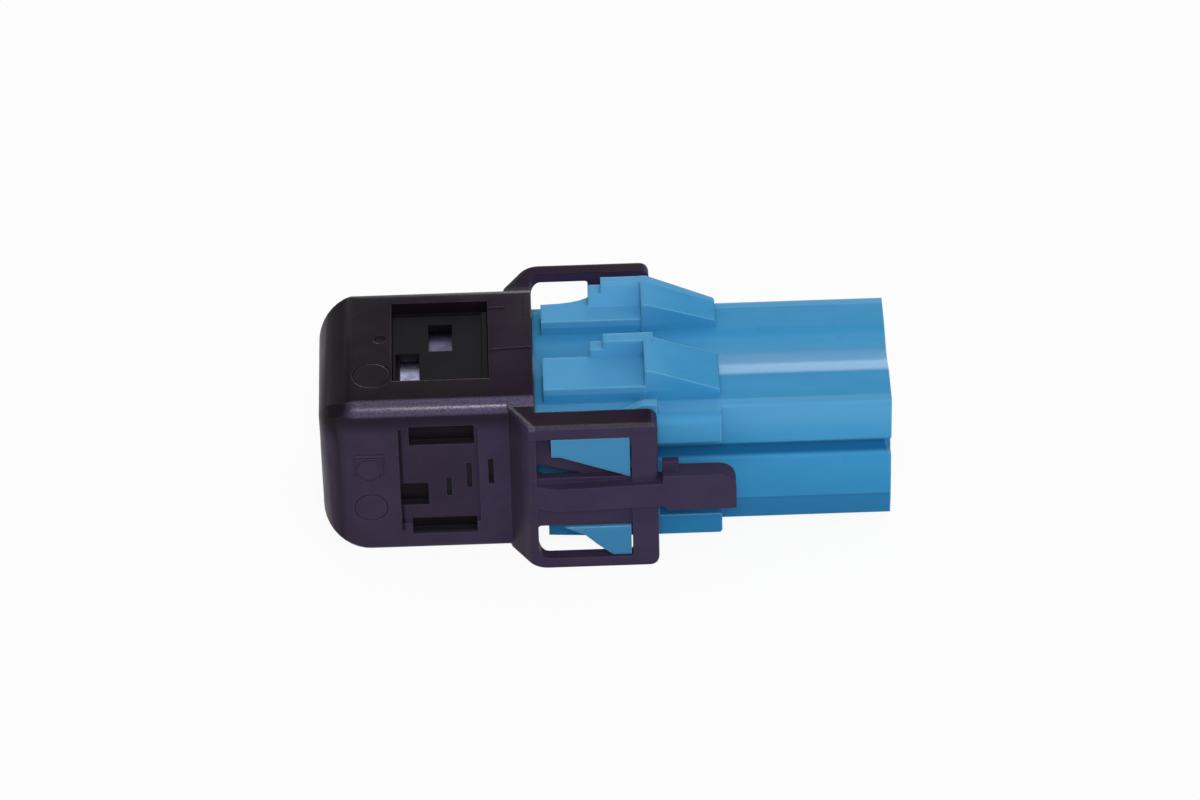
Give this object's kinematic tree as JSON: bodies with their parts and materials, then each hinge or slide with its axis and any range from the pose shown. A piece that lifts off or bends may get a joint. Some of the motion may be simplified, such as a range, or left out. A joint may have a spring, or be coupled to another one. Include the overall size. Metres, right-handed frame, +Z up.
{
  "type": "coaxial automotive connector",
  "caption": "Sealed coaxial automotive connector: black rear housing with guard frames and a finger arm, blue keyed mating housing with latch barbs.",
  "frame": {"origin": "centre of the footprint, on the surface that the flat bottom rests on", "axes": "+X towards the mating end, -Y towards the side with the finger arm, +Z up"},
  "size_m": [0.0456, 0.0212, 0.0161],
  "materials": {
    "black_plastic": "fine-grained black moulding with a purple cast",
    "blue_plastic": "satin water-blue moulding",
    "shell_metal": "tin-plated pressed metal",
    "dielectric_white": "natural insulator",
    "contact_gold": "gold-plated contact",
    "ferrule_metal": "plated crimp sleeve",
    "seal_rubber": "oiled silicone"
  },
  "bodies": {
    "connector": {"rear_housing": "black_plastic", "front_housing": "blue_plastic", "contact_shell_1": "shell_metal", "contact_shell_2": "shell_metal", "contact_shell_3": "shell_metal", "contact_shell_4": "shell_metal", "dielectric_1": "dielectric_white", "dielectric_2": "dielectric_white", "dielectric_3": "dielectric_white", "dielectric_4": "dielectric_white", "centre_contact_1": "contact_gold", "centre_contact_2": "contact_gold", "centre_contact_3": "contact_gold", "centre_contact_4": "contact_gold", "crimp_ferrule_1": "ferrule_metal", "crimp_ferrule_2": "ferrule_metal", "crimp_ferrule_3": "ferrule_metal", "crimp_ferrule_4": "ferrule_metal", "cable_seal_1": "seal_rubber", "cable_seal_2": "seal_rubber", "cable_seal_3": "seal_rubber", "cable_seal_4": "seal_rubber"},
    "lock": {"terminal_lock": "black_plastic"}
  },
  "joints": [
    {"name": "terminal_lock_slide", "type": "slide", "parent": "connector", "child": "lock", "axis": [0, 1, 0], "range_m": [0, 0.0011]}
  ]
}
